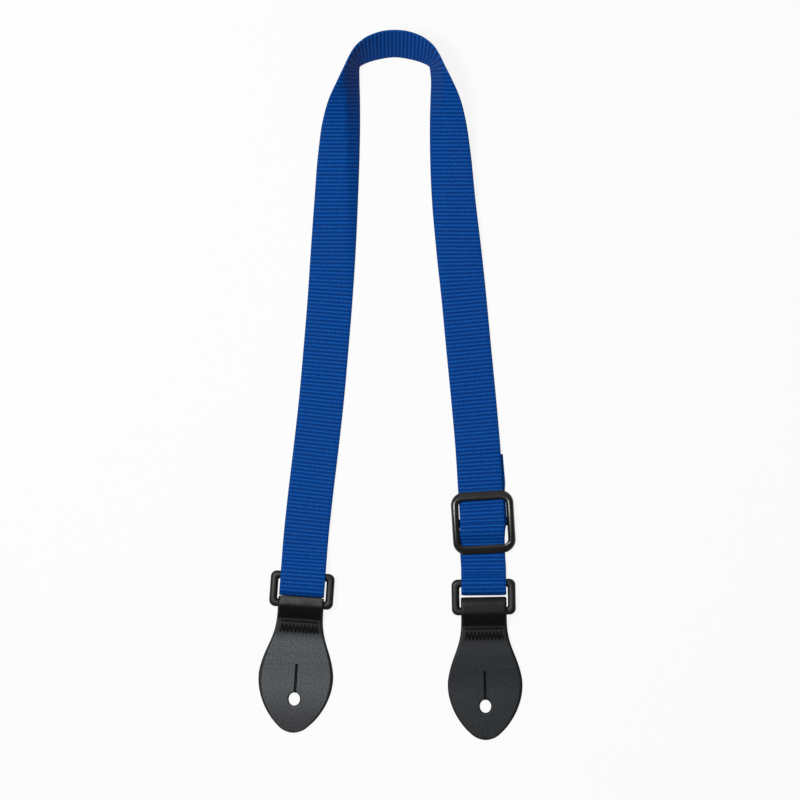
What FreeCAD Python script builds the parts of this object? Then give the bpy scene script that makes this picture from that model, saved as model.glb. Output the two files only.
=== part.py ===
import FreeCAD, Part
import math
import os

# Shoulder strap for a small stringed instrument, lying flat. Millimetres.
# X is to the right, Y runs towards the shoulder bend, Z is up. The table is Z = 0.
# The pieces are laid out about the middle of the bend, then moved to the row's origin.

V = FreeCAD.Vector

ORIGIN_SHIFT = V(-0.26, -0.19, 0)

# Webbing.
WEB_WIDTH = 25.0
WEB_THICK = 1.4
LAYER_GAP = 0.1          # air between two layers that lie on each other
LAP_END_Y = -60.0        # sewn end behind the left leg
TAIL_END_Y = -39.0       # free end behind the right leg
TAIL_SHIFT = 1.2         # the tail lies this far to the right of the front layer
BEND_CENTRE_X = 2.6
BEND_RAISE = 23.8        # height of the outer edge where the bend begins
BEND_RAISE_MID = 20.4    # height of the outer edge in the middle of the bend
RIDGE_ROUND = 3.5        # half the length of the rounding along the ridge

# Rings.
RING_BAR_R = 2.2
RING_SIDE_CLEAR = 0.9    # from the webbing's edge to the ring, each side
RING_WIDTH = WEB_WIDTH + 2 * (RING_SIDE_CLEAR + 2 * RING_BAR_R)
RING_HEIGHT = 20.0
RING_CORNER_R = 2.9      # at the middle of the bar
RING_LEFT_X = -48.9
RING_LEFT_Y = -113.7
RING_RIGHT_X = 52.0
RING_RIGHT_Y = -117.6
RING_LEFT_TURN = -4.0    # degrees about Z
RING_RIGHT_TURN = 1.0
WEB_SLACK_LEFT = 6.4     # how far the fold hangs past the bar
WEB_SLACK_RIGHT = 2.3

# Leather tabs.
LEATHER_THICK = 1.6
LEATHER_RING_GAP = 0.25
TAB_LENGTH = 79.5        # from the ring's middle to the tip
TAB_HALF_WIDTH = 20.7
TAB_NECK_FROM_TIP = 66.4
TAB_SIDE_REACH = 1.5 * TAB_HALF_WIDTH
# The leaf shape, from its tip: share of the half width, share of the length.
TAB_OUTLINE = [
    (0.0, 0.0), (0.2415, 0.0151), (0.4879, 0.0667), (0.7005, 0.1358),
    (0.8986, 0.2377), (0.9903, 0.3333), (1.0, 0.4088), (0.9469, 0.4855),
    (0.8647, 0.556), (0.7633, 0.6252), (0.6763, 0.6956), (0.628, 0.7648),
]
TAB_NECK_HALF = WEB_WIDTH / 2 + 0.2
TAB_BACK_END = 28.0      # the folded end stops here, from the ring's middle
TAB_FLAT_FROM = -16.5    # the two layers lie together from here
TAB_FLAT_TO = -29.0      # to here
TAB_DOWN_AT = -38.0      # and the front layer is down on the table from here
TAB_SLACK_LEFT = 0.0
TAB_SLACK_RIGHT = 3.4
HOLE_R = 3.5
HOLE_FROM_TIP = 18.8
SLIT_TOP_FROM_TIP = 38.5
SLIT_WIDTH = 0.8

# Stitching on the tabs.
THREAD = 0.7
THREAD_HIGH = 0.4
THREAD_GAP = 0.02        # between the thread and the leather under it
STITCH_ROW_Y = -17.6
ZIGZAG_TOP_Y = -19.4
ZIGZAG_LOW_Y = -23.6
ZIGZAG_HALF = 10.4
ZIGZAG_POINTS = 13

# Slider.
SLIDER_X = 51.8
SLIDER_Y = -76.2
SLIDER_TURN = 3.4
SLIDER_SIDE_BAR = 4.15
SLIDER_SIDE_CLEAR = 1.25
SLIDER_WIDTH = WEB_WIDTH + 2 * (SLIDER_SIDE_CLEAR + SLIDER_SIDE_BAR)
SLIDER_HEIGHT = 34.7
SLIDER_CORNER_R = 7.0
SLIDER_END_BAR = 5.0
SLIDER_CENTRE_BAR = 5.0
SLIDER_LOW = 0.2
SLIDER_TOP = 6.1
SLIDER_UNDER_END_BAR = 3.2
SLIDER_CENTRE_TOP = 2.4
HUMP_FLAT = 3.5
HUMP_RUN = 8.0
WEB_SLIDER_GAP = 0.3

RING_LEFT = V(RING_LEFT_X, RING_LEFT_Y, 0)
RING_RIGHT = V(RING_RIGHT_X, RING_RIGHT_Y, 0)
SLIDER = V(SLIDER_X, SLIDER_Y, 0)

# Heights of the middle of each webbing layer.
REAR_Z = WEB_THICK / 2
FRONT_Z = REAR_Z + WEB_THICK + LAYER_GAP
HUMP_RISE = SLIDER_CENTRE_TOP + WEB_SLIDER_GAP
RING_Z = RING_BAR_R + LEATHER_RING_GAP + LEATHER_THICK
FOLD_R = RING_Z - WEB_THICK / 2
BAR_FROM_MIDDLE = RING_HEIGHT / 2 - RING_BAR_R

# Stretch of the right leg that bends when the slider moves.
ADJUST_TOP_Y = -34.0
ADJUST_LOW_Y = -102.0

# Middle lines of the legs: Y, X.
LEFT_LEG = [
    (-140.0, -50.8), (-100.4, -47.9), (-85.9, -46.8), (-63.7, -44.5), (-35.9, -41.2),
    (-8.2, -38.1), (19.6, -35.6), (47.4, -33.3),
]
RIGHT_LEG = [
    (-140.0, 52.3), (-116.0, 52.1), (-97.0, 51.9), (-76.2, 51.4), (-58.2, 50.3),
    (-35.9, 48.9), (-8.2, 46.5), (19.6, 43.8), (47.4, 41.2),
]
# Where the legs rise to the bend: Y, X inner, X ridge, X outer, height of the ridge.
LEFT_RISE = [
    (75.2, -19.1, -23.9, -44.0, 1.4), (103.0, -17.9, -23.7, -42.0, 3.4),
    (130.7, -17.0, -24.0, -39.7, 6.2), (147.4, -16.8, -24.6, -37.2, 9.9),
    (158.5, -16.9, -24.8, -34.0, 14.0), (169.6, -17.2, -24.9, -28.8, 20.0),
]
RIGHT_RISE = [
    (75.2, 25.8, 28.8, 50.8, 1.4), (103.0, 23.4, 29.7, 47.5, 3.4),
    (130.7, 22.4, 29.8, 44.6, 6.2), (147.4, 22.4, 30.0, 42.0, 9.9),
    (158.5, 22.7, 30.2, 39.1, 14.0), (169.6, 23.0, 30.3, 34.2, 20.0),
]
# Half of the bend, from its end to its middle: outer edge X, Y, inner edge X, Y, share of the way.
BEND_HALF = [
    (-27.6, 177.4, -19.8, 175.9, 0.0), (-24.8, 182.9, -19.3, 177.3, 0.15),
    (-22.0, 187.4, -18.2, 178.2, 0.3), (-17.2, 191.9, -14.8, 179.4, 0.5),
    (-9.2, 195.6, -8.9, 181.2, 0.75), (0.0, 196.9, 0.0, 182.4, 1.0),
]
ACROSS = [0.0, 0.125, 0.25, 0.375, 0.5, 0.625, 0.75, 0.875, 1.0]


def ease(share):
    share = min(1.0, max(0.0, share))
    return share * share * (3 - 2 * share)


def leg_x(rows, y):
    """X of a leg's middle line at a height Y, on a smooth curve through its rows."""
    i = 0
    while i < len(rows) - 2 and y > rows[i + 1][0]:
        i += 1
    y0, x0 = rows[i]
    y1, x1 = rows[i + 1]
    y_before, x_before = rows[max(i - 1, 0)]
    y_after, x_after = rows[min(i + 2, len(rows) - 1)]
    slope0 = (x1 - x_before) / (y1 - y_before) * (y1 - y0)
    slope1 = (x_after - x0) / (y_after - y0) * (y1 - y0)
    t = (y - y0) / (y1 - y0)
    start = (2 * t**3 - 3 * t**2 + 1) * x0 + (t**3 - 2 * t**2 + t) * slope0
    return start + (3 * t**2 - 2 * t**3) * x1 + (t**3 - t**2) * slope1


def flat_row(leg, y, z, shift=0.0):
    """Points across a flat stretch, from the outer edge to the inner edge."""
    slope = (leg_x(leg, y + 1) - leg_x(leg, y - 1)) / 2
    across = V(1, -slope, 0).normalize()
    middle = V(leg_x(leg, y) + shift, y, z)
    side = 1 if leg is LEFT_LEG else -1
    return [middle + across * (side * (u - 0.5) * WEB_WIDTH) for u in ACROSS]


def ridged_row(outer, ridge, inner):
    """Points across a stretch that goes level from the outer edge to a ridge, then down."""
    first = (ridge - outer).Length
    whole = first + (inner - ridge).Length
    points = []
    for u in ACROSS:
        d = u * whole
        reach = min(RIDGE_ROUND, first, whole - first)
        if reach > 0.05 and abs(d - first) < reach:
            t = (d - first + reach) / (2 * reach)
            a = ridge + (outer - ridge).normalize() * reach
            c = ridge + (inner - ridge).normalize() * reach
            points.append(a * (1 - t) ** 2 + ridge * (2 * t * (1 - t)) + c * t**2)
        elif d < first:
            points.append(outer + (ridge - outer) * (d / first))
        else:
            points.append(ridge + (inner - ridge) * ((d - first) / (whole - first)))
    return points


def rise_rows(table):
    rows = []
    for y, inner, ridge, outer, high in table:
        rows.append(
            ridged_row(V(outer, y, high + REAR_Z), V(ridge, y, high + REAR_Z), V(inner, y, REAR_Z))
        )
    return rows


def bend_rows():
    left = []
    right = []
    for ox, oy, ix, iy, share in BEND_HALF:
        high = BEND_RAISE + (BEND_RAISE_MID - BEND_RAISE) * share
        for side, rows in ((1, left), (-1, right)):
            outer = V(BEND_CENTRE_X + side * ox, oy, high + REAR_Z)
            inner = V(BEND_CENTRE_X + side * ix, iy, REAR_Z)
            rows.append([outer + (inner - outer) * u for u in ACROSS])
    return left + right[-2::-1]


def hump(y):
    """How far the webbing is lifted over the slider's centre bar."""
    away = abs(y - SLIDER.y)
    return HUMP_RISE * ease((HUMP_FLAT + HUMP_RUN - away) / HUMP_RUN)


def fold(leg, bar_y, slack, layers):
    """Rows round a ring bar, from the rear layer to the front layer."""
    rows = []
    centre = bar_y - slack
    for step in range(0, 9):
        angle = math.pi * step / 8
        y = centre - FOLD_R * math.sin(angle)
        z = RING_Z - FOLD_R * math.cos(angle)
        rows.append(flat_row(leg, y, z))
    rows.append(flat_row(leg, bar_y + 0.5, RING_Z + FOLD_R))
    for step in range(1, 7):
        share = step / 6
        y = bar_y + 0.5 + (layers - 1) * share
        z = RING_Z + FOLD_R + (FRONT_Z - RING_Z - FOLD_R) * ease(share)
        rows.append(flat_row(leg, y, z))
    rows.append(flat_row(leg, bar_y + 0.5 + layers, FRONT_Z))
    return rows


def is_straight(points):
    middle = points[len(points) // 2]
    return middle.distanceToLine(points[0], points[-1] - points[0]) < 0.001


def across_edge(points):
    """A line through points that lie straight, and otherwise a smooth curve."""
    if is_straight(points):
        return Part.makeLine(points[0], points[-1])
    curve = Part.BSplineCurve()
    curve.interpolate(Points=points, Parameters=ACROSS)
    return curve.toShape()


def ribbon(rows):
    """A closed band of the webbing's thickness through rows of points."""
    wires = []
    for i, row in enumerate(rows):
        ahead = rows[min(i + 1, len(rows) - 1)]
        behind = rows[max(i - 1, 0)]
        top = []
        low = []
        flat = is_straight(row)
        half = len(row) // 2
        for k, point in enumerate(row):
            along = ahead[half] - behind[half] if flat else ahead[k] - behind[k]
            across = row[-1] - row[0] if flat else row[min(k + 1, 8)] - row[max(k - 1, 0)]
            normal = across.cross(along).normalize()
            top.append(point + normal * (WEB_THICK / 2))
            low.append(point - normal * (WEB_THICK / 2))
        edges = [
            across_edge(top),
            Part.makeLine(top[-1], low[-1]),
            across_edge(low[::-1]),
            Part.makeLine(low[0], top[0]),
        ]
        wires.append(Part.Wire(edges))
    faces = Part.makeLoft(wires, False, True).Faces
    shell = Part.makeShell(faces + [Part.Face(wires[0]), Part.Face(wires[-1])])
    shell.sewShape()
    solid = Part.makeSolid(Part.Shell(shell.Faces))
    if solid.Volume < 0:
        solid.reverse()
    return solid


def steps(start, end, size):
    count = max(1, round(abs(end - start) / size))
    return [start + (end - start) * i / count for i in range(count + 1)]


def bar_y(ring, turn):
    return ring.y + BAR_FROM_MIDDLE * math.cos(math.radians(turn))


def webbing_shoulder():
    left_bar = bar_y(RING_LEFT, RING_LEFT_TURN)
    rows = []
    for y in steps(LAP_END_Y, left_bar, 8):
        rows.append(flat_row(LEFT_LEG, y, REAR_Z))
    rows += fold(LEFT_LEG, left_bar, WEB_SLACK_LEFT, 17.0)
    for y in steps(left_bar + 19, LAP_END_Y + 2, 6):
        rows.append(flat_row(LEFT_LEG, y, FRONT_Z))
    for y in steps(LAP_END_Y + 4, LAP_END_Y + 14, 2):
        share = ease((y - LAP_END_Y - 3) / 11)
        rows.append(flat_row(LEFT_LEG, y, FRONT_Z + (REAR_Z - FRONT_Z) * share))
    for y in steps(LAP_END_Y + 20, 44, 13):
        rows.append(flat_row(LEFT_LEG, y, REAR_Z))
    rows += rise_rows(LEFT_RISE)
    rows += bend_rows()
    rows += rise_rows(RIGHT_RISE[::-1])
    for y in steps(44, -20, 13):
        rows.append(flat_row(RIGHT_LEG, y, REAR_Z))
    for y in steps(ADJUST_TOP_Y + 11, ADJUST_TOP_Y + 1, 2):
        share = ease((ADJUST_TOP_Y + 12 - y) / 11)
        rows.append(flat_row(RIGHT_LEG, y, REAR_Z + (FRONT_Z - REAR_Z) * share))
    rows.append(flat_row(RIGHT_LEG, ADJUST_TOP_Y, FRONT_Z))
    return ribbon(rows)


def webbing_adjuster():
    front = []
    for y in steps(ADJUST_TOP_Y, ADJUST_LOW_Y, 1.5):
        front.append(flat_row(RIGHT_LEG, y, FRONT_Z + hump(y)))
    rear = []
    for y in steps(TAIL_END_Y, ADJUST_LOW_Y, 1.5):
        shift = TAIL_SHIFT * (y - ADJUST_LOW_Y) / (TAIL_END_Y - ADJUST_LOW_Y)
        rear.append(flat_row(RIGHT_LEG, y, REAR_Z + hump(y), shift))
    return Part.makeCompound([ribbon(front), ribbon(rear)])


def webbing_return():
    right_bar = bar_y(RING_RIGHT, RING_RIGHT_TURN)
    rows = []
    for y in steps(ADJUST_LOW_Y, right_bar, 3):
        rows.append(flat_row(RIGHT_LEG, y, REAR_Z))
    rows += fold(RIGHT_LEG, right_bar, WEB_SLACK_RIGHT, ADJUST_LOW_Y - right_bar - 0.5)
    return ribbon(rows)


def placed(shape, at, turn):
    shape.rotate(V(0, 0, 0), V(0, 0, 1), turn)
    shape.translate(at)
    return shape


def ring():
    """A rectangular loop of round bar, about the origin, at its resting height."""
    x = RING_WIDTH / 2 - RING_BAR_R
    y = BAR_FROM_MIDDLE
    r = RING_CORNER_R
    k = r * (1 - math.sqrt(0.5))
    z = RING_Z
    edges = [
        Part.makeLine(V(0, y, z), V(x - r, y, z)),
        Part.Arc(V(x - r, y, z), V(x - k, y - k, z), V(x, y - r, z)).toShape(),
        Part.makeLine(V(x, y - r, z), V(x, r - y, z)),
        Part.Arc(V(x, r - y, z), V(x - k, k - y, z), V(x - r, -y, z)).toShape(),
        Part.makeLine(V(x - r, -y, z), V(r - x, -y, z)),
        Part.Arc(V(r - x, -y, z), V(k - x, k - y, z), V(-x, r - y, z)).toShape(),
        Part.makeLine(V(-x, r - y, z), V(-x, y - r, z)),
        Part.Arc(V(-x, y - r, z), V(k - x, y - k, z), V(r - x, y, z)).toShape(),
        Part.makeLine(V(r - x, y, z), V(0, y, z)),
    ]
    profile = Part.Wire(Part.makeCircle(RING_BAR_R, V(0, y, z), V(1, 0, 0)))
    return Part.Wire(edges).makePipeShell([profile], True, False)


def tab_outline():
    """The tab seen from above, its tip at -TAB_LENGTH and its neck open to the ring."""
    half = [(x * TAB_HALF_WIDTH, d * TAB_LENGTH) for x, d in TAB_OUTLINE]
    half += [(TAB_NECK_HALF, TAB_NECK_FROM_TIP), (TAB_NECK_HALF, TAB_LENGTH + RING_HEIGHT / 2)]
    right = [V(x, d - TAB_LENGTH, 0) for x, d in half]
    left = [V(-x, d - TAB_LENGTH, 0) for x, d in reversed(half[1:])]
    neck = len(half) - 1
    edge = Part.BSplineCurve()
    edge.interpolate(Points=left[1:] + right[:neck])
    edges = [
        edge.toShape(),
        Part.makeLine(right[neck - 1], right[neck]),
        Part.makeLine(right[neck], left[0]),
        Part.makeLine(left[0], left[1]),
    ]
    return Part.Face(Part.Wire(edges)).extrude(V(0, 0, 20))


def level_line(y0, y1, z):
    return lambda off: Part.makeLine(V(0, y0, z + off), V(0, y1, z + off))


def level_curve(y0, z0, y1, z1):
    """A smooth change of height that starts and ends level."""

    def edge(off):
        points = []
        for i in range(9):
            share = i / 8
            slope = 6 * share * (1 - share) * (z1 - z0) / (y1 - y0)
            tilt = math.atan(slope)
            y = y0 + (y1 - y0) * share - off * math.sin(tilt)
            points.append(V(0, y, z0 + (z1 - z0) * ease(share) + off * math.cos(tilt)))
        curve = Part.BSplineCurve()
        ahead = V(0, y1 - y0, 0)
        curve.interpolate(Points=points, InitialTangent=ahead, FinalTangent=ahead)
        return curve.toShape()

    return edge


def tab_side(slack):
    """The tab's section along its length, a strip bent round the ring bar."""
    half = LEATHER_THICK / 2
    bend = RING_Z - half
    bar = -BAR_FROM_MIDDLE
    end = bar + slack
    rear_z = half
    front_z = half + LEATHER_THICK + LAYER_GAP
    top_z = RING_Z + bend
    tip = -TAB_LENGTH - 5
    front = [
        level_line(end, bar - 0.5, top_z),
        level_curve(bar - 0.5, top_z, TAB_FLAT_FROM, front_z),
        level_line(TAB_FLAT_FROM, TAB_FLAT_TO, front_z),
        level_curve(TAB_FLAT_TO, front_z, TAB_DOWN_AT, rear_z),
        level_line(TAB_DOWN_AT, tip, rear_z),
    ]
    edges = [Part.makeLine(V(0, -TAB_BACK_END, 0), V(0, -TAB_BACK_END, LEATHER_THICK))]
    for off, radius in ((-half, bend + half), (half, bend - half)):
        low = V(0, end, RING_Z - radius)
        high = V(0, end, RING_Z + radius)
        edges.append(Part.Arc(low, V(0, end + radius, RING_Z), high).toShape())
        edges.append(Part.makeLine(V(0, -TAB_BACK_END, low.z), low))
        for edge in front:
            edges.append(edge(-off))
    edges.append(Part.makeLine(V(0, tip, 0), V(0, tip, LEATHER_THICK)))
    wire = Part.Wire(Part.__sortEdges__(edges))
    wire.translate(V(-TAB_SIDE_REACH, 0, 0))
    return Part.Face(wire).extrude(V(2 * TAB_SIDE_REACH, 0, 0))


def tab(slack):
    shape = tab_side(slack).common(tab_outline())
    hole_y = HOLE_FROM_TIP - TAB_LENGTH
    slit_y = SLIT_TOP_FROM_TIP - TAB_LENGTH
    hole = Part.makeCylinder(HOLE_R, 20, V(0, hole_y, -5))
    slit = Part.makeBox(SLIT_WIDTH, slit_y - hole_y, 20, V(-SLIT_WIDTH / 2, hole_y, -5))
    return shape.cut(hole.fuse(slit))


def tab_stitching():
    """A straight row and a zigzag row of thread, lying on the front layer."""
    low = 2 * LEATHER_THICK + LAYER_GAP + THREAD_GAP
    row = Part.makeBox(2 * ZIGZAG_HALF, THREAD, THREAD_HIGH, V(-ZIGZAG_HALF, STITCH_ROW_Y, low))
    upper = []
    lower = []
    for i in range(2 * ZIGZAG_POINTS + 1):
        x = -ZIGZAG_HALF + ZIGZAG_HALF * i / ZIGZAG_POINTS
        y = ZIGZAG_TOP_Y if i % 2 == 0 else ZIGZAG_LOW_Y
        upper.append(V(x, y + THREAD / 2, low))
        lower.append(V(x, y - THREAD, low))
    outline = upper + lower[::-1] + upper[:1]
    zigzag = Part.Face(Part.makePolygon(outline)).extrude(V(0, 0, THREAD_HIGH))
    return Part.makeCompound([row, zigzag])


def rounded_box(width, height, corner, low, high):
    x = width / 2
    y = height / 2
    box = Part.makeBox(width, height, high - low, V(-x, -y, low))
    upright = [e for e in box.Edges if abs(e.tangentAt(e.FirstParameter).z) > 0.9]
    return box.makeFillet(corner, upright)


def slider():
    """Three-bar adjuster: webbing goes under the end bars and over the centre bar."""
    window_x = SLIDER_WIDTH - 2 * SLIDER_SIDE_BAR
    window_y = SLIDER_HEIGHT - 2 * SLIDER_END_BAR
    body = rounded_box(SLIDER_WIDTH, SLIDER_HEIGHT, SLIDER_CORNER_R, SLIDER_LOW, SLIDER_TOP)
    rim = [e for e in body.Edges if e.CenterOfMass.z > SLIDER_TOP - 0.01]
    body = body.makeFillet(1.8, rim)
    body = body.cut(rounded_box(window_x, window_y, 3.0, -1, 10))
    tunnel = Part.makeBox(
        window_x,
        SLIDER_HEIGHT + 4,
        SLIDER_UNDER_END_BAR + 1,
        V(-window_x / 2, -SLIDER_HEIGHT / 2 - 2, -1),
    )
    body = body.cut(tunnel)
    middle = Part.makeBox(
        window_x + 2,
        SLIDER_CENTRE_BAR,
        SLIDER_CENTRE_TOP - SLIDER_LOW,
        V(-window_x / 2 - 1, -SLIDER_CENTRE_BAR / 2, SLIDER_LOW),
    )
    along = [e for e in middle.Edges if abs(e.tangentAt(e.FirstParameter).x) > 0.9]
    return body.fuse(middle.makeFillet(0.8, along)).removeSplitter()


def main():
    os.makedirs("parts", exist_ok=True)
    parts = {
        "webbing_shoulder": webbing_shoulder(),
        "webbing_adjuster": webbing_adjuster(),
        "webbing_return": webbing_return(),
        "ring_left": placed(ring(), RING_LEFT, RING_LEFT_TURN),
        "ring_right": placed(ring(), RING_RIGHT, RING_RIGHT_TURN),
        "slider": placed(slider(), SLIDER, SLIDER_TURN),
        "tab_left": placed(tab(TAB_SLACK_LEFT), RING_LEFT, RING_LEFT_TURN),
        "tab_right": placed(tab(TAB_SLACK_RIGHT), RING_RIGHT, RING_RIGHT_TURN),
        "tab_left_stitching": placed(tab_stitching(), RING_LEFT, RING_LEFT_TURN),
        "tab_right_stitching": placed(tab_stitching(), RING_RIGHT, RING_RIGHT_TURN),
    }
    for name, shape in parts.items():
        shape.translate(ORIGIN_SHIFT)
        shape.exportStep("parts/" + name + ".step")


main()
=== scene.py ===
import math

import bmesh
import bpy
import numpy as np
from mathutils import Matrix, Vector


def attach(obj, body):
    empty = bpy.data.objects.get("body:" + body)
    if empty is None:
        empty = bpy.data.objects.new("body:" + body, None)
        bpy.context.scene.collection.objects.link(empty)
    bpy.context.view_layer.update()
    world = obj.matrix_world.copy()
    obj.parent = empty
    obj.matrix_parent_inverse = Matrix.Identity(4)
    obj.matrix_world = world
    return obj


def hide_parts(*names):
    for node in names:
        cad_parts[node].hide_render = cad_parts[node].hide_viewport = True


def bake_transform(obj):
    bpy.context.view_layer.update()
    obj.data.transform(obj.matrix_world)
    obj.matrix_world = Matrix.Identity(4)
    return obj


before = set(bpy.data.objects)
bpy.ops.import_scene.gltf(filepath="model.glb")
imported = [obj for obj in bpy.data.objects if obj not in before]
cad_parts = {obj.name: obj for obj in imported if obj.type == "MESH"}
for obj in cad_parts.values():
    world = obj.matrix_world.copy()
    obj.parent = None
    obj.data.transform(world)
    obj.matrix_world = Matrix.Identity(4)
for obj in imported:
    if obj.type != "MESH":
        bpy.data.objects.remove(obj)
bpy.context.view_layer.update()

# ---------------------------------------------------------------------------
# The webbing: one length of 25 mm ribbed polyester webbing, woven on a narrow
# loom. Its left end is folded round a loop and sewn back; its right end goes
# through the slider, round the other loop and back, and is cut with a hot blade.
# ---------------------------------------------------------------------------

# Lengths are in millimetres, and ORIGIN_SHIFT moves what is drawn to the frame's origin.
MM = 0.001
ORIGIN_SHIFT = np.array([-0.26, -0.19, 0.0])

WEB_WIDTH = 25.0
WEB_THICK = 1.4
WEB_EDGE_TAPER = 2.4  # how far in from each edge the webbing grows thinner
WEB_EDGE_THIN = 0.5  # the share of the thickness that is lost at the edge itself
LAYER_GAP = 0.1
RIB_PITCH = 2.15
RIB_DEPTH = 0.13
LAP_END_Y = -60.0
TAIL_END_Y = -39.0
STILL_TO_Y = -38.0  # above this the webbing lies still when the slider moves
RIGHT_STEP_Y = -22.0  # where the right leg starts to rise over the free end
RIGHT_FLAT_Y = -101.0  # where the front layer lies flat again above the right loop
LAYER_STEP = 11.0  # the length of a step up or down by one layer
# How far the free end lies outside the webbing over it, at places along it.
TAIL_AT = (-85.0, -81.0, -76.2, -59.0, -55.0, -50.0, -39.0)
TAIL_SHIFT = (0.0, 0.2, 1.0, 1.0, 1.45, 1.35, 1.1)
SWAY = 0.45

RING_BAR_R = 2.2
RING_HEIGHT = 20.0
RING_LEFT = (-48.9, -113.7)
RING_RIGHT = (52.0, -117.6)
RING_LEFT_TURN = -4.0
RING_RIGHT_TURN = 1.0
WEB_SLACK_LEFT = 7.5
WEB_SLACK_RIGHT = 2.9
FOLD_PAST_BAR = 0.5  # the layers are level until this far past the bar's middle
FOLD_DOWN_LEFT = 17.0  # the length over which the left fold's front layer comes down
LEATHER_THICK = 1.6
RING_Z = RING_BAR_R + 0.25 + LEATHER_THICK
FOLD_R = RING_Z - WEB_THICK / 2
BAR_FROM_MIDDLE = RING_HEIGHT / 2 - RING_BAR_R

SLIDER = (51.8, -76.2)
HUMP_RISE = 2.7
HUMP_FLAT = 4.8
HUMP_RUN = 7.2

REAR_Z = WEB_THICK / 2
FRONT_Z = REAR_Z + WEB_THICK + LAYER_GAP

LEFT_LEG = [
    (-140.0, -50.8), (-100.4, -47.9), (-85.9, -46.8), (-63.7, -44.5), (-35.9, -41.2),
    (-8.2, -38.1), (19.6, -35.6), (47.4, -33.3),
]
RIGHT_LEG = [
    (-140.0, 52.3), (-116.0, 52.1), (-97.0, 51.9), (-76.2, 51.4), (-58.2, 50.3),
    (-35.9, 48.9), (-8.2, 46.5), (19.6, 43.8), (47.4, 41.2),
]
# Where the legs rise to the bend: Y, X inner, X ridge, X outer, height of the ridge,
# and how much higher the outer edge is.
LEFT_RISE = [
    (75.2, -19.1, -23.9, -44.0, 1.4, 0.0), (103.0, -17.9, -23.7, -42.0, 3.4, 0.1),
    (130.7, -17.0, -24.0, -39.7, 6.2, 0.5), (147.4, -16.8, -24.6, -37.2, 9.6, 1.5),
    (158.5, -16.9, -24.8, -34.0, 13.3, 3.0), (169.6, -17.2, -24.9, -28.8, 18.2, 3.9),
]
RIGHT_RISE = [
    (75.2, 25.8, 28.8, 50.8, 1.4, 0.0), (103.0, 23.4, 29.7, 47.5, 3.4, 0.1),
    (130.7, 22.4, 29.8, 44.6, 6.4, 0.5), (147.4, 22.4, 30.0, 42.0, 9.9, 1.5),
    (158.5, 22.7, 30.2, 39.1, 13.6, 3.0), (169.6, 23.0, 30.3, 34.2, 18.3, 3.9),
]
BEND_CENTRE_X = 2.6
BEND_RAISE = 23.8
BEND_RAISE_MID = 20.4
RIDGE_ROUND = 1.1
# Half of the bend: outer edge X, Y, inner edge X, Y, share of the way to the middle.
BEND_HALF = [
    (-27.6, 177.4, -19.8, 175.9, 0.0), (-25.2, 182.4, -19.6, 176.8, 0.12),
    (-22.5, 187.0, -18.9, 177.6, 0.3), (-17.9, 191.5, -15.9, 179.1, 0.5),
    (-9.4, 195.6, -8.9, 181.2, 0.75), (0.0, 196.9, 0.0, 182.4, 1.0),
]
COLUMNS = 41


def ease(share):
    share = min(1.0, max(0.0, share))
    return share * share * (3 - 2 * share)


def steps(start, end, size):
    count = max(1, round(abs(end - start) / size))
    return [start + (end - start) * i / count for i in range(count + 1)]


def curve_through(at, values, where):
    """Values at places along a smooth curve through unevenly spaced points."""
    at = np.asarray(at, float)
    values = np.asarray(values, float)
    gap = np.diff(at)
    slope = np.diff(values, axis=0) / gap[:, None]
    tangent = np.empty_like(values)
    tangent[0] = slope[0]
    tangent[-1] = slope[-1]
    both = (gap[1:] + gap[:-1])[:, None]
    tangent[1:-1] = (slope[:-1] * gap[1:, None] + slope[1:] * gap[:-1, None]) / both
    i = np.clip(np.searchsorted(at, where) - 1, 0, len(at) - 2)
    t = ((where - at[i]) / gap[i])[:, None]
    g = gap[i][:, None]
    return (
        (2 * t**3 - 3 * t**2 + 1) * values[i]
        + (t**3 - 2 * t**2 + t) * g * tangent[i]
        + (3 * t**2 - 2 * t**3) * values[i + 1]
        + (t**3 - t**2) * g * tangent[i + 1]
    )


def leg_x(leg, y):
    rows = np.array(leg)
    return float(curve_through(rows[:, 0], rows[:, 1:], np.array([y]))[0, 0])


def flat_row(leg, y, z, shift=0.0):
    """Points across a flat stretch of webbing, from its outer edge to its inner edge."""
    slope = (leg_x(leg, y + 1) - leg_x(leg, y - 1)) / 2
    across = np.array([1, -slope, 0]) / math.hypot(1, slope)
    side = 1 if leg is LEFT_LEG else -1
    middle = np.array([leg_x(leg, y) + shift, y, z])
    shares = np.linspace(-0.5, 0.5, COLUMNS)
    return middle + np.outer(shares * side * WEB_WIDTH, across)


def ridged_row(outer, ridge, inner):
    """Points across from the outer edge to a rounded ridge, then down to the inner edge."""
    outer, ridge, inner = (np.array(p, float) for p in (outer, ridge, inner))
    first = np.linalg.norm(ridge - outer)
    whole = first + np.linalg.norm(inner - ridge)
    out = (outer - ridge) / first
    down = (inner - ridge) / (whole - first)
    reach = min(RIDGE_ROUND, first, whole - first)
    points = []
    for d in np.linspace(0, whole, COLUMNS):
        t = (d - first + reach) / (2 * reach)
        if 0 < t < 1:
            points.append(ridge + out * reach * (1 - t) ** 2 + down * reach * t**2)
        elif d < first:
            points.append(ridge + out * (first - d))
        else:
            points.append(ridge + down * (d - first))
    return np.array(points)


def rise_rows(table):
    """Rows of a leg that rises to the bend, from its table."""
    return [
        ridged_row((outer, y, high + more + REAR_Z), (ridge, y, high + REAR_Z), (inner, y, REAR_Z))
        for y, inner, ridge, outer, high, more in table
    ]


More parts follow.
